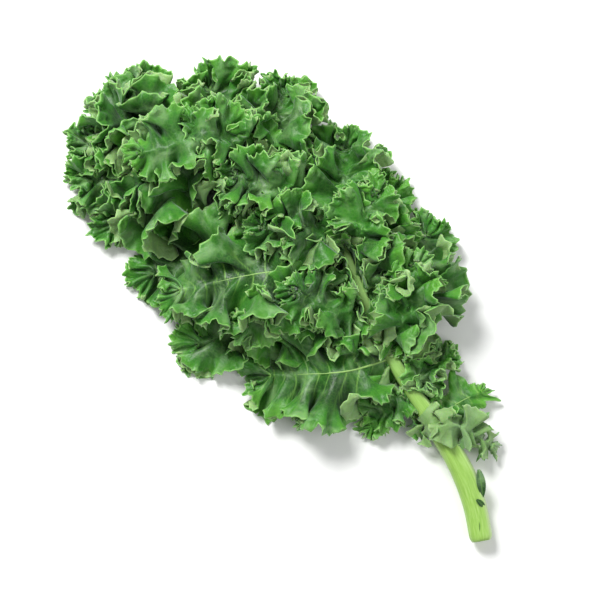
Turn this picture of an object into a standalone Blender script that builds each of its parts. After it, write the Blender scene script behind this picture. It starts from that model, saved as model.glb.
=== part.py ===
"""One large leaf of curly kale, cut at the stalk and lying on its back.

Metres, +Z up. +X runs from the cut end of the stalk to the tip of the leaf and +Y to the
leaf's left as it lies. The stalk and midrib are one piece. Each frilled lobe of the blade is
a closed pad that fills the room its ruffles take, flat underneath and domed on top, and each
leaflet on the bare stalk is a small pad. After everything is laid out, the whole leaf is
moved so that the middle of its footprint is at the origin.
"""
from math import cos, pi, sin

import bmesh
import bpy
from mathutils import Vector

GAP = 0.0003                    # air between two neighbouring pads
STALK_GAP = 0.0022              # air between the round stalk and the flat cuts beside it

# The stalk and midrib: centreline points, and how its thickness falls away along it
STALK_POINTS = (
    (-0.0026, -0.0025, 0.008), (0.0174, -0.0155, 0.009), (0.039, -0.026, 0.011),
    (0.069, -0.035, 0.014), (0.104, -0.0435, 0.017), (0.130, -0.052, 0.018),
    (0.153, -0.063, 0.018), (0.189, -0.080, 0.017), (0.230, -0.087, 0.016),
    (0.270, -0.080, 0.015), (0.305, -0.064, 0.015),
)
STALK_HALVES = (                # distance from the cut end, and half thickness there
    (0.000, 0.0070), (0.036, 0.0075), (0.062, 0.0066), (0.086, 0.0050),
    (0.120, 0.0036), (0.160, 0.0027), (0.205, 0.0021), (0.305, 0.0012),
)
STALK_SIDES = 12
STALK_STEPS = 3                 # rings between two centreline points
STALK_END_ROUND = 0.0015        # worn edge of the cut end

# The pads of the lobes: rings of the domes, and how their outlines are scalloped
PAD_SIDES = 24
PAD_RINGS = 10
PAD_FRILL = 0.05                # depth of the scallops over the half width
PAD_BOXINESS = 0.80             # below 1 fills out the corners of the domes
PAD_SINK = 0.30                 # height of a dome's widest level over its thickness
PAD_FAN = 0.18                  # how much wider a lobe is at its end than at its root
SURFACE_FACE_MIN = 0.0          # the level that the leaf rests on

# name, root, end, half width, lowest level, thickness, scallops, colour
LOBES = (
    ("left_lobe_1", (0.112, -0.036), (0.152, 0.032), 0.032, 0.000, 0.032, 9, (0.10, 0.27, 0.07)),
    ("left_lobe_2", (0.166, -0.052), (0.228, -0.002), 0.030, 0.000, 0.044, 9, (0.09, 0.25, 0.06)),
    ("left_lobe_3", (0.214, -0.034), (0.262, 0.032), 0.034, 0.000, 0.034, 8, (0.08, 0.24, 0.06)),
    ("left_lobe_4", (0.250, -0.050), (0.300, 0.024), 0.030, 0.000, 0.042, 8, (0.07, 0.22, 0.05)),
    ("left_lobe_5", (0.276, -0.052), (0.334, 0.010), 0.032, 0.000, 0.044, 9, (0.09, 0.26, 0.06)),
    ("left_lobe_6", (0.156, -0.006), (0.190, 0.042), 0.027, 0.000, 0.034, 8, (0.09, 0.25, 0.06)),
    ("right_lobe_1", (0.082, -0.044), (0.090, -0.094), 0.021, 0.000, 0.030, 7, (0.11, 0.29, 0.08)),
    ("right_lobe_2", (0.112, -0.056), (0.122, -0.130), 0.030, 0.000, 0.040, 9, (0.10, 0.28, 0.07)),
    ("right_lobe_3", (0.152, -0.070), (0.172, -0.134), 0.034, 0.000, 0.042, 9, (0.10, 0.28, 0.07)),
    ("right_lobe_4", (0.198, -0.088), (0.212, -0.135), 0.034, 0.000, 0.042, 8, (0.08, 0.25, 0.06)),
    ("right_lobe_5", (0.246, -0.090), (0.260, -0.134), 0.032, 0.000, 0.040, 8, (0.09, 0.26, 0.06)),
    ("tip_lobe_1", (0.284, -0.076), (0.312, -0.112), 0.032, 0.000, 0.040, 8, (0.08, 0.25, 0.06)),
    ("tip_lobe_2", (0.310, -0.064), (0.356, -0.054), 0.032, 0.000, 0.040, 8, (0.09, 0.26, 0.06)),
    ("tip_lobe_3", (0.306, -0.042), (0.354, -0.014), 0.030, 0.000, 0.042, 8, (0.09, 0.27, 0.06)),
    ("middle_lobe_1", (0.140, -0.052), (0.184, -0.022), 0.023, 0.028, 0.030, 9, (0.13, 0.32, 0.11)),
    ("middle_lobe_2", (0.178, -0.072), (0.230, -0.038), 0.027, 0.028, 0.034, 9, (0.11, 0.30, 0.08)),
    ("middle_lobe_3", (0.216, -0.086), (0.264, -0.056), 0.029, 0.028, 0.036, 9, (0.09, 0.27, 0.07)),
    ("middle_lobe_4", (0.260, -0.056), (0.318, -0.024), 0.029, 0.028, 0.036, 8, (0.11, 0.30, 0.08)),
    ("middle_lobe_5", (0.262, -0.090), (0.306, -0.070), 0.025, 0.028, 0.036, 8, (0.09, 0.26, 0.06)),
    ("middle_lobe_6", (0.126, -0.064), (0.146, -0.098), 0.021, 0.034, 0.022, 8, (0.10, 0.28, 0.07)),
    ("middle_lobe_7", (0.164, -0.082), (0.186, -0.114), 0.022, 0.034, 0.024, 8, (0.10, 0.28, 0.07)),
    ("middle_lobe_8", (0.174, -0.022), (0.200, 0.004), 0.019, 0.030, 0.022, 8, (0.09, 0.26, 0.06)),
)

# Small leaflets and scale leaves low on the stalk, made as the lobes are
LEAFLETS = (
    ("stalk_leaflet_1", (0.056, -0.038), (0.048, -0.076), 0.014, 0.003, 0.018, 7, (0.10, 0.30, 0.07)),
    ("stalk_leaflet_2", (0.084, -0.030), (0.092, -0.008), 0.011, 0.006, 0.016, 5, (0.12, 0.31, 0.09)),
    ("stalk_collar", (0.068, -0.018), (0.038, -0.056), 0.012, 0.022, 0.010, 7, (0.20, 0.38, 0.18)),
    ("stalk_scale_1", (0.028, -0.0330), (0.015, -0.0260), 0.0035, 0.008, 0.008, 3, (0.05, 0.16, 0.04)),
    ("stalk_scale_2", (0.017, -0.0240), (0.009, -0.0195), 0.0025, 0.007, 0.007, 3, (0.05, 0.16, 0.04)),
)

STALK_COLOUR = (0.33, 0.57, 0.13)
LEAF_ROUGHNESS = 0.50
STALK_ROUGHNESS = 0.40


def smooth_path(points, steps):
    """Points along a Catmull-Rom curve through the given ones."""
    knots = [Vector(p) for p in points]
    ends = [2 * knots[0] - knots[1]] + knots + [2 * knots[-1] - knots[-2]]
    path = []
    for before, start, end, after in zip(ends, ends[1:], ends[2:], ends[3:]):
        for step in range(steps):
            t = step / steps
            path.append(0.5 * (2 * start + (end - before) * t
                               + (2 * before - 5 * start + 4 * end - after) * t * t
                               + (3 * start - before - 3 * end + after) * t ** 3))
    path.append(knots[-1])
    return path


def principled(name, colour, roughness):
    """A plain matt or satin material of one colour."""
    material = bpy.data.materials.new(name)
    material.use_nodes = True
    shader = material.node_tree.nodes["Principled BSDF"]
    shader.inputs["Base Color"].default_value = (*colour, 1.0)
    shader.inputs["Roughness"].default_value = roughness
    shader.inputs["Metallic"].default_value = 0.0
    return material


def add_object(name, bm, colour, roughness, parent):
    """Turn a bmesh into a named object, shaded smooth except along its sharp edges."""
    bmesh.ops.dissolve_degenerate(bm, dist=1e-6, edges=bm.edges)
    bmesh.ops.triangulate(bm, faces=bm.faces)
    bmesh.ops.recalc_face_normals(bm, faces=bm.faces)
    mesh = bpy.data.meshes.new(name)
    bm.to_mesh(mesh)
    bm.free()
    mesh.shade_smooth()
    mesh.set_sharp_from_angle(angle=pi / 5)
    mesh.materials.append(principled(name, colour, roughness))
    made = bpy.data.objects.new(name, mesh)
    made.parent = parent
    bpy.context.collection.objects.link(made)
    return made


def stalk_half(share):
    """Half thickness of the stalk at a share of the way from the cut end to the tip."""
    along = share * STALK_HALVES[-1][0]
    for (start, half), (end, next_half) in zip(STALK_HALVES, STALK_HALVES[1:]):
        if along <= end:
            return half + (next_half - half) * (along - start) / (end - start)
    return STALK_HALVES[-1][1]


def make_stalk(path, parent):
    """The stalk and midrib: a tapering rod extruded ring by ring along its centreline."""
    bm = bmesh.new()
    ring = bmesh.ops.create_circle(bm, segments=STALK_SIDES, radius=1.0)["verts"]
    spots = [vert.co.copy() for vert in ring]
    edges = bm.edges[:]
    worn = path[0] + (path[1] - path[0]).normalized() * STALK_END_ROUND
    centres = [path[0], worn] + path[1:]
    halves = [stalk_half(0) - STALK_END_ROUND]
    halves += [stalk_half(index / (len(path) - 1)) for index in range(len(path))]
    for index, (centre, half) in enumerate(zip(centres, halves)):
        if index:
            grown = bmesh.ops.extrude_edge_only(bm, edges=edges)["geom"]
            ring = [item for item in grown if isinstance(item, bmesh.types.BMVert)]
            edges = [item for item in grown if isinstance(item, bmesh.types.BMEdge)]
        nearest = max(0, min(len(path) - 2, index - 1))
        ahead = (path[nearest + 1] - path[nearest]).normalized()
        side = Vector((0, 0, 1)).cross(ahead).normalized()
        up = ahead.cross(side)
        for vert, spot in zip(ring, spots):
            vert.co = centre + (side * spot.x + up * spot.y) * half
    bmesh.ops.holes_fill(bm, edges=[edge for edge in bm.edges if edge.is_boundary], sides=0)
    return add_object("stalk_and_midrib", bm, STALK_COLOUR, STALK_ROUGHNESS, parent)


def cut(bm, point, normal):
    """Cut away what lies beyond a plane and close the cut with a flat face."""
    geometry = bm.verts[:] + bm.edges[:] + bm.faces[:]
    result = bmesh.ops.bisect_plane(bm, geom=geometry, dist=1e-7, plane_co=point,
                                    plane_no=normal, clear_outer=True)
    rim = [item for item in result["geom_cut"] if isinstance(item, bmesh.types.BMEdge)]
    if rim:
        bmesh.ops.holes_fill(bm, edges=rim, sides=0)


def middle(lobe):
    """Centre of a lobe's pad, at the level where it is widest."""
    _, root, end, _, low, thickness, _, _ = lobe
    return Vector(((root[0] + end[0]) / 2, (root[1] + end[1]) / 2, low + PAD_SINK * thickness))


def reach(lobe):
    """A lobe's mean half width, which sets where it meets its neighbours."""
    _, root, end, half, _, _, _, _ = lobe
    return ((Vector(end) - Vector(root)).length / 2 + half) / 2


def make_pad(lobe, lobes, path, parent):
    """A lobe's pad: a scalloped dome, cut flat below and back from its neighbours."""
    name, root, end, half, low, thickness, scallops, colour = lobe
    centre = middle(lobe)
    along = Vector((*end, 0.0)) - Vector((*root, 0.0))
    across = Vector((-along.y, along.x, 0.0)).normalized()
    bm = bmesh.new()
    bmesh.ops.create_uvsphere(bm, u_segments=PAD_SIDES, v_segments=PAD_RINGS, radius=1.0)
    for vert in bm.verts:
        full = [abs(value) ** PAD_BOXINESS * (1 if value > 0 else -1) for value in vert.co]
        turn = Vector((full[0], full[1])).angle_signed(Vector((1, 0)), 0.0)
        frill = 1 + PAD_FRILL * cos(scallops * turn) + PAD_FRILL / 2 * sin((2 * scallops - 3) * turn)
        fan = 1 + PAD_FAN * full[0]
        height = (1 - PAD_SINK) * thickness
        vert.co = (centre + along * (0.5 * full[0] * frill) + across * (half * full[1] * frill * fan)
                   + Vector((0, 0, full[2] * height)))
    cut(bm, Vector((0, 0, low)), Vector((0, 0, -1)))
    for other in lobes:
        if other is lobe:
            continue
        other_centre = middle(other)
        apart = other_centre - centre
        middle_share = 0.5 + (reach(lobe) ** 2 - reach(other) ** 2) / (2 * apart.length_squared)
        point = centre + apart * middle_share - apart.normalized() * (GAP / 2 + 1e-5)
        cut(bm, point, apart)
    for index, spot in enumerate(path):
        outward = centre - spot
        outward.z = max(outward.z, 0.0)
        outward.normalize()
        half_here = stalk_half(index / (len(path) - 1))
        cut(bm, spot + outward * (half_here + STALK_GAP), -outward)
    return add_object(name, bm, colour, LEAF_ROUGHNESS, parent)


def settle(parent, pieces):
    """Move the whole leaf so that the middle of its footprint is over the origin."""
    corners = [vert.co for piece in pieces for vert in piece.data.vertices]
    lows = [min(corner[axis] for corner in corners) for axis in range(3)]
    highs = [max(corner[axis] for corner in corners) for axis in range(3)]
    parent.location = (-(lows[0] + highs[0]) / 2, -(lows[1] + highs[1]) / 2,
                       SURFACE_FACE_MIN - lows[2])


for old in list(bpy.data.objects):
    bpy.data.objects.remove(old)

leaf = bpy.data.objects.new("leaf", None)
bpy.context.collection.objects.link(leaf)
stalk_path = smooth_path(STALK_POINTS, STALK_STEPS)
pieces = [make_stalk(stalk_path, leaf)]
for row in LOBES + LEAFLETS:
    pieces.append(make_pad(row, LOBES + LEAFLETS, stalk_path, leaf))
settle(leaf, pieces)
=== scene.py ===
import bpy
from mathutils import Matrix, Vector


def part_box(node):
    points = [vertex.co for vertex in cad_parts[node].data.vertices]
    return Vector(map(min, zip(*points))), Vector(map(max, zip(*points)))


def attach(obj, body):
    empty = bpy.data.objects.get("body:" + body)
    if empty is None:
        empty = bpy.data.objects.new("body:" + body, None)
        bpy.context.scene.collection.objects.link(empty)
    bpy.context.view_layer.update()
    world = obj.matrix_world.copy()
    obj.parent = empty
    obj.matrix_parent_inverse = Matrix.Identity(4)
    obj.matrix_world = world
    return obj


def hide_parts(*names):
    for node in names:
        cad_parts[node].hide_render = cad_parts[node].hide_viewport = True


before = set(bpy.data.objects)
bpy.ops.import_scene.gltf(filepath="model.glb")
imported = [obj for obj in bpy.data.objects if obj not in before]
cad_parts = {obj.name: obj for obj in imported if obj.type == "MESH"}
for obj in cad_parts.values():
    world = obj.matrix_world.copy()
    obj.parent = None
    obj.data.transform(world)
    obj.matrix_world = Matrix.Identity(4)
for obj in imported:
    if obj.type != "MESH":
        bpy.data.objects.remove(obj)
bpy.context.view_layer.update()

from concurrent.futures import ThreadPoolExecutor
from math import cos, pi, radians, sin

import bmesh
import bpy
import numpy as np
from mathutils import Matrix, Vector

# ---------------------------------------------------------------------------------------------
# The stalk and midrib. A crisp, fleshy rod, about 15 mm across where the knife went through it,
# that tapers into the midrib of the blade. It grew in one piece: a skin with fine long fibres,
# a shallow channel along the top, and a wet, paler core that shows only at the cut.

MM = 0.001

# The point that the leaf is measured from, in from the corner of the stalk's box
stalk_low, stalk_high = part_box("stalk_and_midrib")
CUT_END = np.array([stalk_low[0] + 5.6 * MM, stalk_high[1] - 2.6 * MM, 0.0])
STALK_HALVES = (                # mm from the cut end, and half width there
    (0, 6.9), (36, 7.2), (62, 6.4), (86, 4.9), (120, 3.9), (160, 2.9), (205, 2.1), (305, 1.2),
)
MIDRIB_REACH = STALK_HALVES[-1][0]
STALK_SIDES = 40
STALK_RINGS = 200
CHANNEL_DEPTH = 0.07            # of the half width, along the top
KEEL_HEIGHT = 0.10              # of the half width, along the upper right
KEEL_TURN = 2.25                # radians from the left flank over the top
RIDGE_DEPTH = 0.012             # of the half width, long fibres under the skin
RIDGE_COUNT = 11

MIDRIB_POINTS = (               # mm from the cut end, along, across and up
    (-2.2, -2.2, 8), (16.9, -16.2, 9), (38.6, -26.7, 11), (69, -35, 14), (104, -43.5, 17),
    (130, -52, 18), (153, -63, 18), (189, -80, 17), (230, -87, 16), (270, -80, 15), (305, -64, 15),
)


def smooth_path(points, count):
    """Points along a Catmull-Rom curve through the given ones."""
    knots = np.array(points, float)
    knots = np.vstack([2 * knots[0] - knots[1], knots, 2 * knots[-1] - knots[-2]])
    place = np.linspace(0, len(knots) - 3, count)
    start = np.minimum(place.astype(int), len(knots) - 4)
    t = (place - start)[:, None]
    a, b, c, d = (knots[start + step] for step in range(4))
    return 0.5 * (2 * b + (c - a) * t + (2 * a - 5 * b + 4 * c - d) * t ** 2
                  + (3 * b - a - 3 * c + d) * t ** 3)


def even_path(path, count):
    """The same curve with its points at even distances."""
    run = np.concatenate([[0], np.cumsum(np.linalg.norm(np.diff(path, axis=0), axis=1))])
    at = np.linspace(0, run[-1], count)
    return np.stack([np.interp(at, run, path[:, axis]) for axis in range(3)], 1)


def midrib_half(along):
    """Half width of the stalk and midrib, in mm, at a distance from the cut end."""
    return np.interp(along, *zip(*STALK_HALVES))


midrib = even_path(smooth_path(MIDRIB_POINTS, 400), STALK_RINGS)


def extrude_rod(bm, path, half_at, sides):
    """Extrude a ring along a path, in metres. half_at gives each ring's half widths."""
    ring = bmesh.ops.create_circle(bm, segments=sides, radius=1.0)["verts"]
    turns = [pi * 2 * index / sides for index in range(sides)]
    edges = list({edge for vert in ring for edge in vert.link_edges})
    rings = []
    for index, centre in enumerate(path):
        if index:
            grown = bmesh.ops.extrude_edge_only(bm, edges=edges)["geom"]
            ring = [item for item in grown if isinstance(item, bmesh.types.BMVert)]
            edges = [item for item in grown if isinstance(item, bmesh.types.BMEdge)]
        low = max(0, min(len(path) - 2, index - 1))
        ahead = Vector(path[low + 1] - path[low]).normalized()
        across = Vector((0, 0, 1)).cross(ahead).normalized()
        up = ahead.cross(across)
        for vert, turn, half in zip(ring, turns, half_at(index, np.array(turns))):
            vert.co = Vector(centre) + (across * cos(turn) + up * sin(turn)) * half
        rings.append(ring)
    return rings, turns


def stalk_halves(index, turns):
    """Half widths round one ring of the stalk: channel on top, faint ridges all round."""
    half = midrib_half(index / (STALK_RINGS - 1) * MIDRIB_REACH)
    channel = CHANNEL_DEPTH * np.exp(-((turns - pi / 2) / 0.45) ** 2)
    keel = KEEL_HEIGHT * np.exp(-((turns - KEEL_TURN) / 0.24) ** 2)
    ridges = RIDGE_DEPTH * np.cos(RIDGE_COUNT * turns + 0.02 * index)
    wear = 1.0 - 0.16 * max(0, 2 - index) ** 2 / 4
    return half * MM * wear * (1 - channel + keel + ridges)


bm = bmesh.new()
grain = bm.verts.layers.float_vector.new("grain")
pith = bm.verts.layers.float.new("pith")
stalk_path = CUT_END + midrib * MM
rings, turns = extrude_rod(bm, stalk_path, stalk_halves, STALK_SIDES)
for number, ring in enumerate(rings):
    for vert, turn in zip(ring, turns):
        vert[grain] = Vector((cos(turn), sin(turn), number / STALK_RINGS))

# The cut face: the end ring is filled, then inset twice and pressed in a little
end_face = bmesh.ops.contextual_create(bm, geom=rings[0])["faces"][0]
out_of_end = Vector(stalk_path[0] - stalk_path[1]).normalized()
for width, depth, core in ((0.6 * MM, -0.15 * MM, 0.6), (2.6 * MM, -0.35 * MM, 1.0)):
    bmesh.ops.inset_region(bm, faces=[end_face], thickness=width, depth=0.0)
    for vert in end_face.verts:
        vert.co += out_of_end * depth
        vert[pith] = core
bmesh.ops.poke(bm, faces=[end_face])
bmesh.ops.contextual_create(bm, geom=rings[-1])
for vert in bm.verts:
    if not vert[grain].length:
        vert[grain] = Vector((0.3, 0.2, 0.0))
        vert[pith] = 1.0

bmesh.ops.recalc_face_normals(bm, faces=bm.faces)


def add_piece(name, bm, materials):
    """A finished mesh as an object of the scene, shaded smooth, riding on the leaf."""
    mesh = bpy.data.meshes.new(name)
    bm.to_mesh(mesh)
    bm.free()
    mesh.shade_smooth()
    for material in materials:
        mesh.materials.append(material)
    piece = bpy.data.objects.new(name, mesh)
    bpy.context.scene.collection.objects.link(piece)
    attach(piece, "root")
    return piece


def linear(code):
    """An sRGB hex colour as the linear RGBA that a shader takes."""
    channels = [int(code[at:at + 2], 16) / 255 for at in (1, 3, 5)]
    return tuple(c / 12.92 if c <= 0.04045 else ((c + 0.055) / 1.055) ** 2.4
                 for c in channels) + (1.0,)


def node(tree, kind, settings=None, **links):
    """Add a node, set its properties and sockets, and link sources to its sockets.

    A socket is given by its name, or by its place where several share a name (s0, s1, ...).
    """
    made = tree.nodes.new(kind)

    def socket(key):
        return made.inputs[int(key[1:]) if key[1:].isdigit() else key.replace("_", " ")]

    for key, value in (settings or {}).items():
        if hasattr(made, key):
            setattr(made, key, value)
        else:
            socket(key).default_value = value
    for key, source in links.items():
        tree.links.new(source, socket(key))
    return made


def ramp(tree, factor, stops):
    """A colour ramp with (position, hex colour) stops."""
    made = node(tree, "ShaderNodeValToRGB", None, Fac=factor)
    bar = made.color_ramp
    while len(bar.elements) < len(stops):
        bar.elements.new(0.5)
    for element, (position, code) in zip(bar.elements, stops):
        element.position = position
        element.color = linear(code)
    return made.outputs["Color"]


def new_material(name):
    """An empty node material and the socket of its surface."""
    material = bpy.data.materials.new(name)
    material.use_nodes = True
    tree = material.node_tree
    shader = tree.nodes["Principled BSDF"]
    return material, tree, shader


# Fresh kale stalk, washed: pale yellow-green skin whose fibres show as long streaks, darker
# and greener in patches, with a wet, even shine and a painted highlight down its right flank.
# The cut shows lighter, duller flesh.
stalk_skin, tree, shader = new_material("kale_stalk_skin")
grown_along = node(tree, "ShaderNodeAttribute", {"attribute_name": "grain"})
streaks = node(tree, "ShaderNodeMapping", {"Scale": (3.2, 3.2, 14.0)},
               Vector=grown_along.outputs["Vector"])
fibre = node(tree, "ShaderNodeTexNoise", {"Scale": 2.2, "Detail": 5.0, "Roughness": 0.6},
             Vector=streaks.outputs["Vector"])
skin = ramp(tree, fibre.outputs["Fac"], ((0.30, "#83AE48"), (0.50, "#93BC57"), (0.72, "#A6CA72")))
flank = node(tree, "ShaderNodeSeparateXYZ", Vector=grown_along.outputs["Vector"])
# Painted highlight: the right flank, from the keel down, is painted paler, standing in for the light
# on that face
painted_lit_flank = node(tree, "ShaderNodeMapRange", {"interpolation_type": "SMOOTHSTEP", "From Min": -0.45,
                                              "From Max": -0.72, "To Max": 0.6},
                 Value=flank.outputs["X"])
skin = node(tree, "ShaderNodeMix", {"data_type": "RGBA", "s7": linear("#C3DC9E")}, s6=skin,
            s0=painted_lit_flank.outputs[0]).outputs[2]
higher_up = node(tree, "ShaderNodeMapRange", {"interpolation_type": "SMOOTHSTEP", "From Min": 0.20,
                                              "From Max": 0.42, "To Max": 0.60},
                 Value=flank.outputs["Z"])
skin = node(tree, "ShaderNodeMix", {"data_type": "RGBA", "s7": linear("#8FBA6C")}, s6=skin,
            s0=higher_up.outputs[0]).outputs[2]
# A short dark slit on top, where the skin was nicked near the cut
NICK = CUT_END + np.array([4.8, -7.0, 14.0]) * MM
place = node(tree, "ShaderNodeTexCoord").outputs["Object"]
slit = node(tree, "ShaderNodeMapping", {"vector_type": "TEXTURE", "Location": tuple(NICK),
                                        "Rotation": (0, 0, radians(-47)),
                                        "Scale": (2.6 * MM, 0.4 * MM, 9 * MM)}, Vector=place)
slit = node(tree, "ShaderNodeVectorMath", {"operation": "LENGTH"}, Vector=slit.outputs["Vector"])
slit = node(tree, "ShaderNodeMapRange", {"From Min": 0.7, "From Max": 1.3, "To Min": 0.70,
                                         "To Max": 0.0}, Value=slit.outputs["Value"])
skin = node(tree, "ShaderNodeMix", {"data_type": "RGBA", "s7": linear("#2E5A1E")}, s6=skin,
            s0=slit.outputs[0]).outputs[2]
core = node(tree, "ShaderNodeAttribute", {"attribute_name": "pith"})
flesh = node(tree, "ShaderNodeMix", {"data_type": "RGBA", "s7": linear("#C9DB9A")}, s6=skin,
             s0=core.outputs["Fac"])
tree.links.new(flesh.outputs[2], shader.inputs["Base Color"])
shader.inputs["Roughness"].default_value = 0.38
shader.inputs["IOR"].default_value = 1.40
shader.inputs["Subsurface Weight"].default_value = 0.15
shader.inputs["Subsurface Scale"].default_value = 0.004
shader.inputs["Subsurface Radius"].default_value = (0.7, 1.0, 0.3)
bump = node(tree, "ShaderNodeBump", {"Strength": 0.25, "Distance": 0.0004},
            Height=fibre.outputs["Fac"])
tree.links.new(bump.outputs["Normal"], shader.inputs["Normal"])

stalk = add_piece("stalk", bm, [stalk_skin])
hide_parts("stalk_and_midrib")

# ---------------------------------------------------------------------------------------------
# The lobes of the blade. Each is a sheet of leaf about half a millimetre thick that grows out
# of both sides of its own rib. Kale curls because the edge of the sheet grows several times
# longer than the room it has, so it buckles into folds, and the folds into smaller folds. The
# lobes are grown the same way here: an even sheet whose edge is made longer step by step.

# node, root along the midrib, rib's end (along, across, up), rib's middle up, half width,
# upward slope at the edge, growth of the edge, smooth inner part, side it keeps to
LOBES = (
    ("left_lobe_1", 112, (151, 1, 10), 22, 34, 8, 1.30, 0.9, 1),
    ("left_lobe_2", 160, (226, 2, 22), 36, 33, 4, 1.30, 0.95, 1),
    ("left_lobe_3", 204, (251, 4, 8), 18, 31, 10, 1.15, 0.8, 1),
    ("left_lobe_4", 240, (290, -5, 8), 20, 32, 22, 1.25, 0.7, 0),
    ("left_lobe_5", 276, (320, -13, 8), 20, 33, 22, 1.25, 0.7, 0),
    ("left_lobe_6", 144, (199, 17, 6), 14, 31, 12, 1.15, 0.8, 1),
    ("right_lobe_1", 84, (90, -66, 8), 18, 15, 14, 1.10, 0.8, -1),
    ("right_lobe_2", 114, (144, -109, 10), 26, 28, 14, 1.25, 0.7, 0),
    ("right_lobe_3", 150, (180, -110, 10), 26, 30, 14, 1.20, 0.7, -1),
    ("right_lobe_4", 196, (218, -115, 8), 22, 30, 22, 1.20, 0.7, -1),
    ("right_lobe_5", 244, (268, -116, 8), 20, 31, 24, 1.25, 0.7, 0),
    ("tip_lobe_1", 280, (303, -89, 8), 20, 32, 22, 1.25, 0.7, 0),
    ("tip_lobe_2", 303, (339, -54, 8), 20, 31, 22, 1.25, 0.7, 0),
    ("tip_lobe_3", 298, (336, -26, 8), 20, 30, 20, 1.25, 0.7, 0),
    ("middle_lobe_1", 140, (174, -36, 42), 38, 20, 8, 1.15, 0.9, 1),
    ("middle_lobe_2", 178, (214, -54, 38), 36, 24, 16, 1.25, 0.7, 1),
    ("middle_lobe_3", 214, (248, -66, 40), 38, 25, 16, 1.25, 0.7, 0),
    ("middle_lobe_4", 256, (300, -38, 46), 48, 24, 2, 1.05, 1.1, 0),
    ("middle_lobe_5", 258, (286, -74, 42), 40, 24, 14, 1.25, 0.7, 0),
    ("middle_lobe_6", 118, (136, -88, 34), 34, 20, 14, 1.25, 0.7, 0),
    ("middle_lobe_7", 160, (182, -104, 36), 36, 21, 14, 1.25, 0.7, -1),
    ("middle_lobe_8", 150, (186, -6, 32), 34, 20, 12, 1.25, 0.8, 1),
)
WING = 13.0                     # mm of midrib on each side of a rib that its lobe grows from
WING_SHARE = 0.18               # of the columns on each side of the rib
FAN_SHARE = 0.20                # of the columns, spread round the rib's end
FAN_CALM = 0.65                 # of the growth is missing there, as the edge has more room
FAN_TURN = 0.36                 # of a half turn, from the rib's line to where the fan ends
ROOT_TURN = 0.06                # and a little more near the root
EDGE_REACH = 0.98               # of the half width, from the rib to the edge
TIP_REACH = 0.92                # and beyond the place given for the rib's end
WING_REACH = 0.62               # and from the midrib
BAY_DEPTHS = (0.16, 0.12)       # of the reach, even bays and uneven ones in the outline
UNEVEN_BAYS = 11
RIB_REST = 0.52                 # of the half width, left between the rib's end and the edge
RIB_KNOTS = 40
RIB_BEND = 5.0                  # mm, how far the middle of a rib lies off a straight line
ROWS = 5                        # rows of the first, coarse sheet, from the rib to the edge
COLUMNS = 52                    # and columns, from one end of the edge round to the other
EDGE_CROWDING = 1.3             # rows lie closer together towards the edge

# finer rows, finer columns, length of the edge, how near to the edge, rounds, unevenness in mm,
# stiffness along and out, clearance in mm, rounds between looking for touching sheets
GROWTH = (
    (False, False, 2.2, 1.0, 120, 3.00, 0.09, 0.04, 6.0, 12),
    (True, True, 3.1, 1.2, 130, 1.20, 0.10, 0.04, 3.8, 20),
    (False, True, 3.9, 1.6, 110, 0.70, 0.10, 0.04, 2.6, 28),
    (True, True, 4.6, 2.1, 90, 0.40, 0.08, 0.04, 1.9, 30),
    (False, True, 5.3, 2.9, 60, 0.20, 0.07, 0.04, 1.3, 30),
)
BARE_MIDRIB = ((62, 90), (116, 182))    # mm along, stretches of the midrib that stay uncovered
BARE_EASE = 8                   # mm over which the blade closes in again
SURFACE = 0.5                   # mm, lowest level of a sheet's middle over the surface
HEADROOM = 60.0                 # mm, level above which the folds are pressed back
TEETH = 96                      # on a lobe's edge
NEAR_NEIGHBOURS = 3             # rows or columns apart, points that may lie closer
UNEVEN_GROWTH = 0.3             # of the growth, how far it differs along an edge
RIPE_AT = 0.7                   # of a stage's rounds, when the edge has its new length
SAG = 0.02                      # mm a round, the weight of the edge
PRESS = 0.2                     # of the height over the headroom, taken back each round
SEED = 3
F = np.float32


def wander(rng, count, cells):
    """Smooth noise from -1 to 1 along a line."""
    knots = rng.uniform(-1, 1, cells + 2)
    at = np.linspace(0, cells, count)
    cell = np.minimum(at.astype(int), cells)
    t = at - cell
    t = t * t * (3 - 2 * t)
    return knots[cell] * (1 - t) + knots[cell + 1] * t


def row_shares(rows):
    """Share of the way from the rib to the edge, for each row."""
    return (1 - (1 - np.linspace(0, 1, rows + 1)) ** EDGE_CROWDING).astype(F)


def blur(values, width):
    """Running mean with soft ends."""
    window = np.hanning(width + 2)[1:-1]
    padded = np.pad(values, width // 2, mode="edge")
    return np.convolve(padded, window / window.sum(), "valid")


def unit(vectors):
    return vectors / np.linalg.norm(vectors, axis=-1, keepdims=True)


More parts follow.
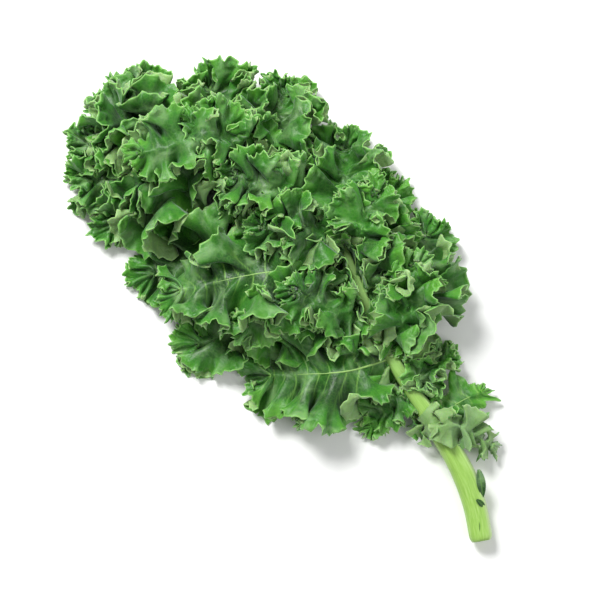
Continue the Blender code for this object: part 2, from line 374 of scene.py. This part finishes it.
def lay_out(lobe, number, rows, columns, wing=WING, shift=0.0):
    """The even sheet of one lobe before it grows, as an array of axis, row and column."""
    _, root_along, end, middle_up, half, slope = lobe[:6]
    rng = np.random.default_rng(SEED * 100 + number)
    nearest = [int(np.argmin(abs(midrib[:, 0] - at)))
               for at in (root_along, root_along - wing, root_along + wing)]
    root, before, after = (midrib[index] + (0, shift, 0) for index in nearest)
    end = np.array(end, float)
    top = (root + end) / 2
    top[2] = middle_up
    ahead = unit((end - root) * (1, 1, 0))
    end += ahead * half * (TIP_REACH - RIB_REST)
    top[:2] += RIB_BEND * (-1) ** number * np.array([-ahead[1], ahead[0]])
    rib = even_path(smooth_path((root, top, end), RIB_KNOTS), RIB_KNOTS)
    aside = np.array([-ahead[1], ahead[0], 0.0])
    if aside @ (after - before) > 0:
        aside = -aside                                  # towards the stalk
    q = np.linspace(1, -1, columns + 1)                 # 1 to -1 round the edge, 0 at the rib's end
    sign = np.sign(q)[:, None]
    far = np.abs(q)
    on_rib = np.clip((1 - WING_SHARE - far) / (1 - WING_SHARE - FAN_SHARE), 0, 1)
    on_wing = np.clip((far - 1 + WING_SHARE) / WING_SHARE, 0, 1)[:, None]
    knot = (1 - (1 - on_rib) ** 1.2) * (RIB_KNOTS - 1)
    base = np.stack([np.interp(knot, np.arange(RIB_KNOTS), rib[:, axis]) for axis in range(3)], 1)
    stalkward = np.where(sign > 0, before, after)
    base = base * (1 - on_wing) + stalkward * on_wing
    turn = pi * (FAN_TURN + ROOT_TURN * (1 - on_rib))
    turn = np.where(far < FAN_SHARE, FAN_TURN * pi * far / FAN_SHARE, turn)[:, None]
    out = ahead * np.cos(turn) + aside * np.sin(turn) * sign
    wing_out = aside * sign * (0.75 - 0.45 * on_wing) + ahead * (0.7 + 0.3 * on_wing)
    out = unit(np.where(on_wing > 0, wing_out, out))
    reach = half * (RIB_REST + (EDGE_REACH - RIB_REST) * np.sin(pi * (0.12 + 0.88 * on_rib)) ** 0.7)
    reach = np.where(far < FAN_SHARE, half * RIB_REST, reach)
    reach = np.where(on_wing[:, 0] > 0, half * (WING_REACH - 0.2 * on_wing[:, 0]), reach)
    width = max(5, columns // 12 * 2 + 1)
    reach = blur(reach, width)
    out = unit(np.stack([blur(out[:, axis], width) for axis in range(3)], 1))
    s = np.linspace(0, 1, columns + 1)
    even_depth, uneven_depth = BAY_DEPTHS
    bays = (even_depth * np.cos(12 * pi * s + rng.uniform(0, 2 * pi))
            + uneven_depth * wander(rng, columns + 1, UNEVEN_BAYS))
    t = row_shares(rows)[:, None]
    length = reach * (t + bays * t ** 2)
    tilt = slope / half * t
    sheet = base[None] + out[None] * (length * np.cos(tilt))[..., None]
    sheet[..., 2] += length * np.sin(tilt)
    return np.moveaxis(sheet, -1, 0).astype(F)


def finer(sheet, axis):
    """Twice the rows or columns, on a smooth curve through the old ones."""
    sheet = np.moveaxis(sheet, axis, 0)
    made = np.empty((2 * len(sheet) - 1,) + sheet.shape[1:], F)
    made[::2] = sheet
    between = (sheet[:-1] + sheet[1:]) / 2
    between[1:-1] = (-sheet[:-3] + 9 * sheet[1:-2] + 9 * sheet[2:-1] - sheet[3:]) / 16
    made[1::2] = between
    return np.ascontiguousarray(np.moveaxis(made, 0, axis))


def span(step):
    return np.sqrt(step[0] ** 2 + step[1] ** 2 + step[2] ** 2) + F(1e-6)


def pull(one, other, rest, share):
    """Move two sets of points towards the distance they should be apart."""
    step = other - one
    step *= F(share) * (1 - rest / span(step))
    one += step
    other -= step


def settle_sheet(sheet, along, out, across, fixed, stiff_along, stiff_out):
    """One round: every edge of the net is pulled to its length, then bends are eased."""
    last = sheet.shape[1] - 1
    for start in (0, 1):
        pull(sheet[:, 1:, start:-1:2], sheet[:, 1:, start + 1::2], along[1:, start::2], 0.5)
    for start in (0, 1):
        pull(sheet[:, start:last:2], sheet[:, start + 1::2], out[start:last:2], 0.5)
        sheet[:, 0] = fixed
    for start in (0, 1):
        near, far = sheet[:, start:last:2], sheet[:, start + 1::2]
        pull(near[..., :-1], far[..., 1:], across[start:last:2], 0.125)
        pull(near[..., 1:], far[..., :-1], across[start:last:2], 0.125)
    ease = (sheet[..., :-2] + sheet[..., 2:]) / 2 - sheet[..., 1:-1]
    sheet[:, 1:, 1:-1] += F(stiff_along) * ease[:, 1:]
    ease = (sheet[:, :-2] + sheet[:, 2:]) / 2 - sheet[:, 1:-1]
    sheet[:, 1:-1] += F(stiff_out) * ease
    sheet[:, -1] += F(0.3 * stiff_out) * (2 * sheet[:, -2] - sheet[:, -3] - sheet[:, -1])
    sheet[:, 0] = fixed


def keep_off_midrib(sheet, side):
    """Keep a sheet out of the midrib, and on its own side of it where the midrib shows."""
    along = sheet[0]
    middle = np.interp(along, midrib[:, 0], midrib[:, 1]).astype(F)
    up = np.interp(along, midrib[:, 0], midrib[:, 2]).astype(F)
    half = midrib_half(along).astype(F) + F(0.6)
    y, z = sheet[1] - middle, sheet[2] - up
    gap = np.sqrt(y * y + z * z) + F(1e-4)
    grow = np.where((gap < half) & (along < MIDRIB_REACH), half / gap, F(1))
    y, z = y * grow, z * grow
    if side:
        bare = np.zeros_like(along)
        for low, high in BARE_MIDRIB:
            begun = np.clip((along - low) / BARE_EASE, 0, 1)
            bare = np.maximum(bare, begun * np.clip((high - along) / BARE_EASE, 0, 1))
        wanted = (half + F(0.4)) * bare
        short = (z > 0) & (bare > 0) & (y * side < wanted)
        y = np.where(short, y + (wanted * side - y) * F(0.3), y)
    sheet[1], sheet[2] = middle + y, up + z


def part_sheets(sheets, clearance):
    """Push apart points of the sheets that have come closer than the clearance."""
    points = np.concatenate([sheet.reshape(3, -1) for sheet in sheets], 1)
    owner = np.concatenate([np.full(sheet[0].size, n) for n, sheet in enumerate(sheets)])
    row = np.concatenate([np.indices(sheet[0].shape)[0].ravel() for sheet in sheets])
    column = np.concatenate([np.indices(sheet[0].shape)[1].ravel() for sheet in sheets])
    cell = np.floor(points / F(clearance)).astype(np.int64)
    cell -= cell.min(1, keepdims=True) - 1
    size = cell.max(1) + 3
    key = (cell[0] * size[1] + cell[1]) * size[2] + cell[2]
    order = np.argsort(key, kind="stable")
    key, points, owner = key[order], points[:, order], owner[order]
    row, column = row[order], column[order]
    count = len(key)
    push = np.zeros((3, count))
    touches = np.zeros(count)
    near = (-1, 0, 1)
    steps = [(x * size[1] + y) * size[2] + z for x in near for y in near for z in near]
    for step in [step for step in steps if step >= 0]:
        first = np.searchsorted(key, key + step, "left") if step else np.arange(1, count + 1)
        ahead = np.searchsorted(key, key + step, "right") - first
        for nth in range(int(ahead.max())):
            one = np.nonzero(ahead > nth)[0]
            other = first[one] + nth
            apart = points[:, other] - points[:, one]
            gap = (apart ** 2).sum(0)
            joined = (owner[one] == owner[other]) & (abs(row[one] - row[other]) <= NEAR_NEIGHBOURS)
            joined &= abs(column[one] - column[other]) <= NEAR_NEIGHBOURS
            touch = (gap < clearance ** 2) & ~joined
            one, other, apart = one[touch], other[touch], apart[:, touch]
            gap = np.sqrt(gap[touch]) + 1e-6
            move = apart * ((clearance - gap) / gap / 2)
            for axis in range(3):
                push[axis] -= np.bincount(one, move[axis], count)
                push[axis] += np.bincount(other, move[axis], count)
            touches += np.bincount(one, minlength=count) + np.bincount(other, minlength=count)
    moved = np.empty_like(points)
    moved[:, order] = points + (push / np.sqrt(np.maximum(touches, 1))).astype(F)
    start = 0
    for sheet in sheets:
        end = start + sheet[0].size
        sheet[:, 1:] = moved[:, start:end].reshape(sheet.shape)[:, 1:]
        start = end


def teeth(rng, count, number):
    """Pointed teeth with round bays between them, along a line."""
    at = np.concatenate([[0], np.cumsum(rng.uniform(0.35, 1.65, number))])
    place = np.interp(np.linspace(0, 1, count), at / at[-1], np.arange(number + 1))
    size = rng.uniform(0.15, 1.5, number + 2)
    low = place.astype(int)
    height = size[low] + (size[low + 1] - size[low]) * (place - low)
    return (height * (1 - np.abs(np.sin(pi * place)))).astype(F)


def grow(lobes, sheets, steps, tooth_count):
    """Grow the edges of some even sheets until they are as frilled as kale."""
    flat = [sheet.copy() for sheet in sheets]
    rng = np.random.default_rng(SEED)
    edge_before, near_before = 1.0, 1.0
    for (fine_rows, fine_columns, edge, near, rounds, uneven,
         stiff_along, stiff_out, gap, pause) in steps:
        for axis in [1] * fine_rows + [2] * fine_columns:
            sheets = [finer(sheet, axis) for sheet in sheets]
            flat = [finer(sheet, axis) for sheet in flat]
        nets = []
        for number, (lobe, sheet, even) in enumerate(zip(lobes, sheets, flat)):
            rows, columns = sheet.shape[1] - 1, sheet.shape[2] - 1
            t = row_shares(rows)[:, None]
            sheet[:, 1:] += (rng.normal(0, uneven, sheet[:, 1:].shape)
                             * np.array([0.4, 0.4, 1.0])[:, None, None] * t[1:]).astype(F)
            along = span(even[..., 1:] - even[..., :-1])
            along = np.maximum(along, along[:1] * F(0.9))
            out = span(even[:, 1:] - even[:, :-1])
            if columns > 150:
                cut = teeth(np.random.default_rng(SEED * 11 + number), columns + 1, tooth_count)
                middle = (t[1:] + t[:-1]) / 2
                out = out * (1 + (F(1.0) * cut - F(0.25)) * np.clip((middle - 0.72) / 0.28, 0, 1))
            uneven_growth = wander(np.random.default_rng(SEED * 7 + number), columns, 9)
            at_end = np.exp(-(np.linspace(-1, 1, columns) / FAN_SHARE) ** 2)
            vigour = ((lobe[6] + UNEVEN_GROWTH * uneven_growth) * (1 - FAN_CALM * at_end)).astype(F)
            nets.append((t, along, out, vigour, sheet[:, 0].copy()))

        def live(number, done, batch):
            """Some rounds of growth of one sheet."""
            sheet, lobe = sheets[number], lobes[number]
            t, along, out, vigour, fixed = nets[number]
            for turn in range(batch):
                if turn % 4 == 0:
                    ripe = min(1.0, (done + turn + 1) / (rounds * RIPE_AT))
                    growth = ((edge_before - 1) * t ** (near_before * lobe[7]) * (1 - ripe)
                              + (edge - 1) * t ** (near * lobe[7]) * ripe)
                    long = (along * (1 + growth * vigour)).astype(F)
                    across = np.sqrt(((long[1:] + long[:-1]) / 2) ** 2
                                     + ((out[:, 1:] + out[:, :-1]) / 2) ** 2)
                settle_sheet(sheet, long, out, across, fixed, stiff_along, stiff_out)
                sheet[2, 1:] -= F(SAG) * t[1:]
                if turn % 3 == 0:
                    keep_off_midrib(sheet, lobe[8])
                over = np.maximum(sheet[2] - F(HEADROOM), 0)
                sheet[2] = np.maximum(sheet[2] - over * F(PRESS), F(SURFACE))
                sheet[:, 0] = fixed

        for done in range(0, rounds, pause):
            batch = min(pause, rounds - done)
            with ThreadPoolExecutor() as pool:
                list(pool.map(lambda number: live(number, done, batch), range(len(sheets))))
            part_sheets(sheets, gap)
        edge_before, near_before = edge, near
    return sheets


steps = GROWTH
even_sheets = [lay_out(lobe, number, ROWS, COLUMNS) for number, lobe in enumerate(LOBES)]
lobe_sheets = grow(LOBES, even_sheets, steps, TEETH)

# The edge ends in sharp little teeth with round bays between them, every 4 to 9 mm

TOOTH_EVERY = 7.5               # mm along the grown edge
TOOTH_HIGH = 2.6                # mm
TOOTH_FOOT = 0.70               # share of the way to the edge where they start


def sharpen(sheet, number, high=TOOTH_HIGH, every=TOOTH_EVERY):
    """Draw out the edge of a grown sheet into teeth."""
    rng = np.random.default_rng(SEED * 53 + number)
    run = np.concatenate([[0], span(sheet[:, -1, 1:] - sheet[:, -1, :-1]).cumsum()])
    count = max(6, int(run[-1] / every))
    height = teeth(rng, 40 * count, count)
    height = np.interp(run / run[-1], np.linspace(0, 1, 40 * count), height) * high
    out = sheet[:, -1] - sheet[:, -5]
    out = unit(np.stack([blur(axis, 5) for axis in out], 1)).T
    t = row_shares(sheet.shape[1] - 1)[:, None]
    rise = np.clip((t - TOOTH_FOOT) / (1 - TOOTH_FOOT), 0, 1) ** 1.5
    sheet += (out[:, None] * rise * (height - 0.3 * high)).astype(F)
    sheet[2] = np.clip(sheet[2], SURFACE, None)


for number, sheet in enumerate(lobe_sheets):
    sharpen(sheet, number)

# Veins leave the rib every 8 mm or so, fork twice on the way to the edge, and lie in shallow
# grooves on the upper side that stand out as ridges underneath

VEIN_EVERY = 8.0                # mm along the rib
VEIN_HALF = 0.50                # mm where it leaves the rib, drawn a little bolder than it is
FAINT_VEIN = 0.35               # of a full vein, on lobes that are frilled right to the rib
OPEN_LOBES = ("left_lobe_1", "left_lobe_2", "stalk_leaflet_1")
GROOVE = 0.30                   # mm deep
BLADE = 0.5                     # mm thick


def vein_strength(lobe, number, sheet):
    """How much of a vein lies at each point of a sheet, from 0 to 1."""
    rows, columns = sheet.shape[1] - 1, sheet.shape[2] - 1
    rng = np.random.default_rng(SEED * 31 + number)
    rib_length = span(sheet[:, 0, columns // 2] - sheet[:, 0, 0])
    each_side = max(2, round(float(rib_length) / VEIN_EVERY))
    at_rib = (np.arange(each_side) + 0.4) / each_side
    far = (1 - WING_SHARE) - at_rib * (1 - WING_SHARE - FAN_SHARE)
    starts = np.concatenate([far, -far, np.array([-0.62, 0.0, 0.62]) * FAN_SHARE, [0.93, -0.93]])
    starts = (1 - starts) / 2 * columns
    t = row_shares(rows)[:, None]
    apart = columns / len(starts)
    wide = span(sheet[..., 1:] - sheet[..., :-1])
    wide = np.concatenate([wide, wide[:, -1:]], 1)
    column = np.arange(columns + 1)[None]
    strength = np.zeros((rows + 1, columns + 1))

    def draw(path, start, half, weight):
        """Add one vein, whose column is given for each row, from a row on."""
        thick = half * (1 - 0.6 * t)
        drawn = np.maximum(thick, 0.7 * wide)
        mark = np.exp(-((column - path) * wide / drawn) ** 2) * thick / drawn * weight
        mark *= 1 - 0.5 * t
        np.maximum(strength, mark * (t >= start) * np.clip((1.02 - t) / 0.15, 0, 1), out=strength)

    for start in starts:
        first, second = rng.uniform((0.25, 0.55), (0.4, 0.7))
        bend = rng.uniform(-1, 1, 2)
        main = start + apart * (0.9 * bend[0] * t ** 1.2 + 0.12 * np.sin(7 * t + 6 * bend[1]))
        draw(main, 0, VEIN_HALF, 0.75 + 0.25 * bend[1])
        for sign in (-1, 1):
            fork = main + sign * apart * 0.34 * np.maximum(t - first, 0) ** 0.8
            draw(fork, first, VEIN_HALF * 0.7, 0.8)
            twig = fork + sign * apart * 0.3 * np.maximum(t - second, 0) ** 0.8
            draw(twig, second, VEIN_HALF * 0.55, 0.6)
    return strength * (1.0 if lobe[0] in OPEN_LOBES else FAINT_VEIN)


def outward(sheet):
    """Unit normals of a sheet."""
    by_column = np.gradient(sheet, axis=2)
    by_row = np.gradient(sheet, axis=1)
    normal = np.cross(by_column, by_row, axis=0)
    return normal / np.maximum(np.sqrt((normal ** 2).sum(0)), 1e-9)


def leaf_sheet(lobe, number, sheet, even, vigour, underside_up=False):
    """A grown sheet as a mesh with its thickness, its veins and their marks."""
    rows, columns = sheet.shape[1] - 1, sheet.shape[2] - 1
    turned = outward(even)[2, 1:].mean() < 0
    veins = vein_strength(lobe, number, sheet)
    sunk = outward(sheet) * (-1 if turned else 1) * veins * GROOVE
    sunk[:, 0] = 0
    points = CUT_END[:, None, None] + (sheet - sunk) * MM
    to_edge = span(sheet[:, 1:] - sheet[:, :-1])[::-1].cumsum(0)[::-1]
    to_edge = np.concatenate([to_edge, np.zeros((1, columns + 1))])
    bm = bmesh.new()
    marks = {"edge": to_edge, "vein": veins, "tone": np.full(veins.shape, vigour)}
    layers = {key: bm.verts.layers.float.new(key) for key in marks}
    bmesh.ops.create_grid(bm, x_segments=columns, y_segments=rows, size=1.0)
    values = np.stack([marks[key].ravel() for key in marks], 1)
    for vert, place, value in zip(bm.verts, points.reshape(3, -1).T, values):
        vert.co = place
        for key, amount in zip(marks, value):
            vert[layers[key]] = amount
    rib_row = bm.verts[:columns + 1]
    bmesh.ops.remove_doubles(bm, verts=rib_row, dist=0.05 * MM)
    if turned != underside_up:
        bmesh.ops.reverse_faces(bm, faces=bm.faces)
    return bm


# Fresh kale, upper side: deep green with a soft wax bloom, given by the sheen and by painted grey
# sheen in patches, lighter on young parts, with painted light on the raised edges and painted shade
# deeper in the folds, pale thread-like veins, a fine net between them, and a thin, paler, slightly dry
# rim.
# Underside: the same leaf, grey-green and duller, with its veins standing out.
REAL_NET = 2.6                  # mm between the finest veins
EDGE_TONE_REACH = 14.0               # mm over which the blade turns from the edge's lighter green to its deepest, partly young growth, partly painted light and shade
RIM = 1.4                       # mm over which the pale rim fades into the blade
PAINTED_SHEEN = 0.60                      # of the painted grey sheen's colour, where it lies thickest


def blade_material(name, dark, mid, light, vein_colour, rim_colour, roughness, bloom, glow):
    """Leaf skin with blotches, painted sheen patches, an edge tone that is partly painted light and
    shade, veins, a rim, a fine net of bumps and light through it.
    """
    material, tree, shader = new_material(name)
    place = node(tree, "ShaderNodeTexCoord").outputs["Object"]
    tone = node(tree, "ShaderNodeAttribute", {"attribute_name": "tone"}).outputs["Fac"]
    vein = node(tree, "ShaderNodeAttribute", {"attribute_name": "vein"}).outputs["Fac"]
    edge = node(tree, "ShaderNodeAttribute", {"attribute_name": "edge"}).outputs["Fac"]
    blotch = node(tree, "ShaderNodeTexNoise", {"Scale": 1 / 0.028, "Detail": 6.0, "Roughness": 0.62},
                  Vector=place)
    # Lighter near the edge and darker further in: partly the young margin's own colour, partly painted
    # light on the raised edges and painted shade deeper in the folds
    young_edge_and_painted_shading = node(tree, "ShaderNodeMapRange", {"From Max": EDGE_TONE_REACH, "To Min": 0.16,
                                              "To Max": -0.10}, Value=edge)
    aged = node(tree, "ShaderNodeMath", {"operation": "ADD"}, s0=blotch.outputs["Fac"], s1=tone)
    mixed = node(tree, "ShaderNodeMath", {"operation": "ADD"}, s0=aged.outputs[0], s1=young_edge_and_painted_shading.outputs[0])
    ground = ramp(tree, mixed.outputs[0], ((0.30, dark), (0.52, mid), (0.78, light)))
    # Painted sheen: grey-green patches in noise are mixed into the colour, standing in for light
    # reflected off the evenly waxed skin
    painted_sheen = node(tree, "ShaderNodeTexNoise", {"Scale": 1 / 0.017, "Detail": 4.0, "Roughness": 0.55,
                                            "Distortion": 0.6}, Vector=place)
    painted_sheen = node(tree, "ShaderNodeMapRange", {"interpolation_type": "SMOOTHSTEP", "From Min": 0.46,
                                            "From Max": 0.72, "To Max": PAINTED_SHEEN}, Value=painted_sheen.outputs["Fac"])
    ground = node(tree, "ShaderNodeMix", {"data_type": "RGBA", "s7": linear("#8CB278")}, s6=ground,
                  s0=painted_sheen.outputs[0]).outputs[2]
    net = node(tree, "ShaderNodeTexVoronoi", {"feature": "DISTANCE_TO_EDGE",
                                              "Scale": 1 / (REAL_NET * MM)}, Vector=place)
    thread = node(tree, "ShaderNodeMapRange", {"From Max": 0.12, "To Min": 0.12, "To Max": 0.0},
                  Value=net.outputs["Distance"])
    lines = node(tree, "ShaderNodeMath", {"operation": "MAXIMUM"}, s0=thread.outputs[0], s1=vein)
    veined = node(tree, "ShaderNodeMix", {"data_type": "RGBA", "s7": linear(vein_colour)},
                  s0=lines.outputs[0], s6=ground)
    ragged = node(tree, "ShaderNodeTexNoise", {"Scale": 1 / 0.006, "Detail": 2.0}, Vector=place)
    rim_width = node(tree, "ShaderNodeMapRange", {"From Min": 0.3, "From Max": 0.7,
                                                  "To Min": 0.5 * RIM, "To Max": 1.5 * RIM},
                     Value=ragged.outputs["Fac"])
    inside = node(tree, "ShaderNodeMath", {"operation": "DIVIDE"}, s0=edge, s1=rim_width.outputs[0])
    rim = node(tree, "ShaderNodeMapRange", {"interpolation_type": "SMOOTHSTEP", "To Min": 0.7,
                                            "To Max": 0.0}, Value=inside.outputs[0])
    colour = node(tree, "ShaderNodeMix", {"data_type": "RGBA", "s7": linear(rim_colour)},
                  s0=rim.outputs[0], s6=veined.outputs[2])
    tree.links.new(colour.outputs[2], shader.inputs["Base Color"])
    fine = node(tree, "ShaderNodeTexNoise", {"Scale": 1 / 0.0012, "Detail": 3.0}, Vector=place)
    swell = node(tree, "ShaderNodeMath", {"operation": "MINIMUM", "s1": 0.25},
                 s0=net.outputs["Distance"])
    relief = node(tree, "ShaderNodeMath", {"operation": "MULTIPLY_ADD", "s1": 0.12},
                  s0=fine.outputs["Fac"], s2=swell.outputs[0])
    bump = node(tree, "ShaderNodeBump", {"Strength": 0.30, "Distance": 0.0010},
                Height=relief.outputs[0])
    tree.links.new(bump.outputs["Normal"], shader.inputs["Normal"])
    dull = node(tree, "ShaderNodeMapRange", {"To Min": roughness - 0.08, "To Max": roughness + 0.10},
                Value=blotch.outputs["Fac"])
    tree.links.new(dull.outputs[0], shader.inputs["Roughness"])
    shader.inputs["IOR"].default_value = 1.42
    shader.inputs["Sheen Weight"].default_value = bloom
    shader.inputs["Sheen Roughness"].default_value = 0.5
    shader.inputs["Sheen Tint"].default_value = linear("#D6E6E0")
    shader.inputs["Subsurface Weight"].default_value = glow
    shader.inputs["Subsurface Scale"].default_value = 0.0014
    shader.inputs["Subsurface Radius"].default_value = (0.40, 1.0, 0.10)
    return material


upper_side = blade_material("kale_blade_waxy_upper_side", "#17430A", "#2F7514", "#559926",
                            "#7DB04E", "#90C46C", 0.45, 0.25, 0.25)
underside = blade_material("kale_blade_dull_underside", "#5A8240", "#749956", "#8DB06E",
                           "#A0C086", "#A8CE84", 0.55, 0.25, 0.25)


def add_leaf(name, bm):
    """A sheet of leaf as a piece, with the blade's thickness and its two sides."""
    piece = add_piece(name, bm, [upper_side, underside])
    wall = piece.modifiers.new("blade_thickness", "SOLIDIFY")
    wall.thickness = BLADE * MM
    wall.offset = 0.0
    wall.material_offset = 1
    wall.material_offset_rim = 0
    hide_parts(name)
    return piece


for number, (lobe, sheet, even) in enumerate(zip(LOBES, lobe_sheets, even_sheets)):
    add_leaf(lobe[0], leaf_sheet(lobe, number, sheet, even, 0.0))

# The lobes' own ribs, side branches of the midrib: round, pale and tapering, with the blade
# growing out of both flanks. They are one rod each, sunk into the seam of the sheet.

RIB_ROOT_HALF = 0.35            # mm, and a little more for a wide lobe
RIB_WIDTH_SHARE = 0.013         # of the lobe's half width
RIB_TIP_HALF = 0.22             # mm
RIB_SEEN = 0.75                 # of an open lobe's length, before its rib is lost in the blade
RIB_UNDER = 0.7                 # mm, the ribs of crumpled lobes stand out underneath
RIB_RINGS = 30
RIB_SIDES = 10


def add_ribs(name, lobes, sheets):
    """One rod along the middle seam of each sheet, as one piece."""
    bm = bmesh.new()
    grain = bm.verts.layers.float_vector.new("grain")
    bm.verts.layers.float.new("pith")
    for lobe, sheet in zip(lobes, sheets):
        columns = sheet.shape[2] - 1
        first = round(columns * WING_SHARE / 2)
        last = round(columns * (1 - FAN_SHARE) / 2)
        if lobe[0] in OPEN_LOBES:
            last = round(first + (last - first) * RIB_SEEN)
        path = CUT_END + even_path(sheet[:, 0, first:last].T.astype(float), RIB_RINGS) * MM
        if lobe[0] not in OPEN_LOBES:
            path[:, 2] -= RIB_UNDER * MM
        root_half = RIB_ROOT_HALF + RIB_WIDTH_SHARE * lobe[4]

        def rib_halves(index, turns):
            share = index / (RIB_RINGS - 1)
            half = RIB_TIP_HALF + (root_half - RIB_TIP_HALF) * (1 - share) ** 0.8
            return np.full(len(turns), half * MM)

        rings, turns = extrude_rod(bm, path, rib_halves, RIB_SIDES)
        for number, ring in enumerate(rings):
            for vert, turn in zip(ring, turns):
                vert[grain] = Vector((cos(turn), sin(turn), 0.5 + number / 400))
        bmesh.ops.contextual_create(bm, geom=rings[0])
        bmesh.ops.contextual_create(bm, geom=rings[-1])
    bmesh.ops.recalc_face_normals(bm, faces=bm.faces)
    piece = add_piece(name, bm, [stalk_skin])


add_ribs("side_ribs", LOBES, lobe_sheets)

# ---------------------------------------------------------------------------------------------
# The leaflets low on the bare stalk. A flat toothed one stands out to the right, a small one
# to the left, and the collar grows from the stalk's left flank and flops over it, so that its
# pale underside faces up. They are sheets like the lobes', too short to curl much.

LEAFLETS = (
    ("stalk_leaflet_1", 61, (59, -64, 12), 14, 13, 5, 0.35, 1.4, 0),
    ("stalk_leaflet_2", 87, (92, -13, 8), 16, 14, 6, 1.2, 0.8, 0),
    ("stalk_collar", 73, (36, -46, 13), 28, 13.5, -6, 1.6, 0.6, 0),
)
COLLAR_SHIFT = 10.0             # mm, from the middle of the stalk to its left flank
LEAFLET_WING = 9.0              # mm of stalk on each side of a leaflet's rib
LEAFLET_TEETH = 14
LEAFLET_POINTS = {              # mm of grown edge for each point, and how high they are drawn
    "stalk_leaflet_1": (15, 9.0), "stalk_leaflet_2": (7, 2.8), "stalk_collar": (6, 3.2),
}
LEAFLET_GROWTH = (
    (False, False, 2.0, 1.0, 100, 2.50, 0.08, 0.04, 3.0, 12),
    (True, True, 3.0, 1.4, 100, 0.80, 0.08, 0.03, 1.8, 20),
    (False, True, 4.0, 2.0, 90, 0.40, 0.07, 0.03, 1.3, 20),
    (False, True, 4.4, 2.4, 70, 0.25, 0.06, 0.03, 1.1, 20),
)

even_leaflets = [lay_out(leaflet, 40 + number, ROWS, COLUMNS, LEAFLET_WING,
                         COLLAR_SHIFT if leaflet[0] == "stalk_collar" else 0.0)
                 for number, leaflet in enumerate(LEAFLETS)]
leaflet_sheets = grow(LEAFLETS, even_leaflets, LEAFLET_GROWTH, LEAFLET_TEETH)
for number, (leaflet, sheet, even) in enumerate(zip(LEAFLETS, leaflet_sheets, even_leaflets)):
    over = leaflet[0] == "stalk_collar"
    every, high = LEAFLET_POINTS[leaflet[0]]
    sharpen(sheet, 40 + number, high, every)
    add_leaf(leaflet[0], leaf_sheet(leaflet, 40 + number, sheet, even, 0.0, over))
add_ribs("leaflet_ribs", LEAFLETS[:2], leaflet_sheets[:2])

# Scale leaves: narrow dark slips with a crease down the middle, pressed against the stalk
SCALES = (                      # node, root, tip (along, across, up) and half width in mm
    ("stalk_scale_1", (28, -32, 15), (15, -21.5, 14), 2.7),
    ("stalk_scale_2", (17, -17.5, 16.5), (10, -18, 13), 1.6),
)
SCALE_ROWS = 16
SCALE_COLUMNS = 6


def scale_leaf(root, tip, half):
    """A narrow pointed slip of leaf with a crease along its middle."""
    root, tip = Vector(root), Vector(tip)
    across = (tip - root).cross(Vector((0, 0, 1))).normalized()
    bm = bmesh.new()
    layers = [bm.verts.layers.float.new(key) for key in ("edge", "vein", "tone")]
    bmesh.ops.create_grid(bm, x_segments=SCALE_COLUMNS, y_segments=SCALE_ROWS, size=1.0)
    for vert in bm.verts:
        aside, share = vert.co.x, (vert.co.y + 1) / 2
        wide = half * sin(pi * min(1, share * 0.92 + 0.06)) ** 0.7
        place = root.lerp(tip, share) + across * (wide * aside)
        place.z += 0.35 * wide * abs(aside) + 1.2 * sin(pi * share)
        vert.co = Vector(CUT_END) + place * MM
        for layer, value in zip(layers, (EDGE_TONE_REACH, 0.3 * (aside == 0), -0.05)):
            vert[layer] = value
    return bm


for name, root, tip, half in SCALES:
    bm = scale_leaf(root, tip, half)
    if sum(face.normal.z for face in bm.faces) < 0:
        bmesh.ops.reverse_faces(bm, faces=bm.faces)
    bm.normal_update()
    add_leaf(name, bm)

# ---------------------------------------------------------------------------------------------
# The floor, a plain pale sweep, with soft light from large panels, and the camera that looks
# down on the leaf with the stalk to the lower right

IMAGE_RIGHT = Vector((-0.731, -0.682, 0.0))
IMAGE_UP = Vector((0.682, -0.731, 0.0))
LOOK_DOWN = radians(80)
CAMERA_FAR = 0.86
LOOK_AT = Vector((CUT_END[0] + 0.1763, CUT_END[1] - 0.0325, 0.030))

bm = bmesh.new()
bmesh.ops.create_grid(bm, x_segments=1, y_segments=1, size=4.0)
floor_paint, tree, shader = new_material("matt_pale_floor")
place = node(tree, "ShaderNodeTexCoord").outputs["Object"]
cloud = node(tree, "ShaderNodeTexNoise", {"Scale": 2.0}, Vector=place)
pale = ramp(tree, cloud.outputs["Fac"], ((0.3, "#F4F4F2"), (0.7, "#FAFAF9")))
tree.links.new(pale, shader.inputs["Base Color"])
shader.inputs["Roughness"].default_value = 0.9
mesh = bpy.data.meshes.new("floor")
bm.to_mesh(mesh)
bm.free()
mesh.materials.append(floor_paint)
floor = bpy.data.objects.new("floor", mesh)
bpy.context.scene.collection.objects.link(floor)


def aim(thing, place, target, up):
    """Stand something at a place, looking at a target, with its upper edge towards up."""
    back = (place - target).normalized()
    right = up.cross(back).normalized()
    over = back.cross(right)
    thing.matrix_world = Matrix.Translation(place) @ Matrix((right, over, back)).transposed().to_4x4()
    bpy.context.scene.collection.objects.link(thing)


def add_panel(name, along_right, along_up, height, size, power):
    """A square panel of soft light over the leaf."""
    panel = bpy.data.lights.new(name, "AREA")
    panel.size = size
    panel.energy = power
    place = LOOK_AT + IMAGE_RIGHT * along_right + IMAGE_UP * along_up + Vector((0, 0, height))
    aim(bpy.data.objects.new(name, panel), place, LOOK_AT, IMAGE_UP)


add_panel("key_panel", -0.55, 0.75, 1.15, 0.55, 28.5)
add_panel("fill_panel", 0.9, -0.4, 1.1, 1.2, 8.0)

world = bpy.data.worlds.new("studio")
world.use_nodes = True
world.node_tree.nodes["Background"].inputs["Color"].default_value = linear("#F6F8FA")
world.node_tree.nodes["Background"].inputs["Strength"].default_value = 0.34
bpy.context.scene.world = world
bpy.context.scene.view_settings.view_transform = "Standard"

lens = bpy.data.cameras.new("camera")
lens.lens = 85.0
lens.sensor_width = 36.0
camera = bpy.data.objects.new("camera", lens)
back = (Vector((0, 0, 1)) * sin(LOOK_DOWN) - IMAGE_UP * cos(LOOK_DOWN)).normalized()
aim(camera, LOOK_AT + back * CAMERA_FAR, LOOK_AT, IMAGE_UP)
bpy.context.scene.camera = camera
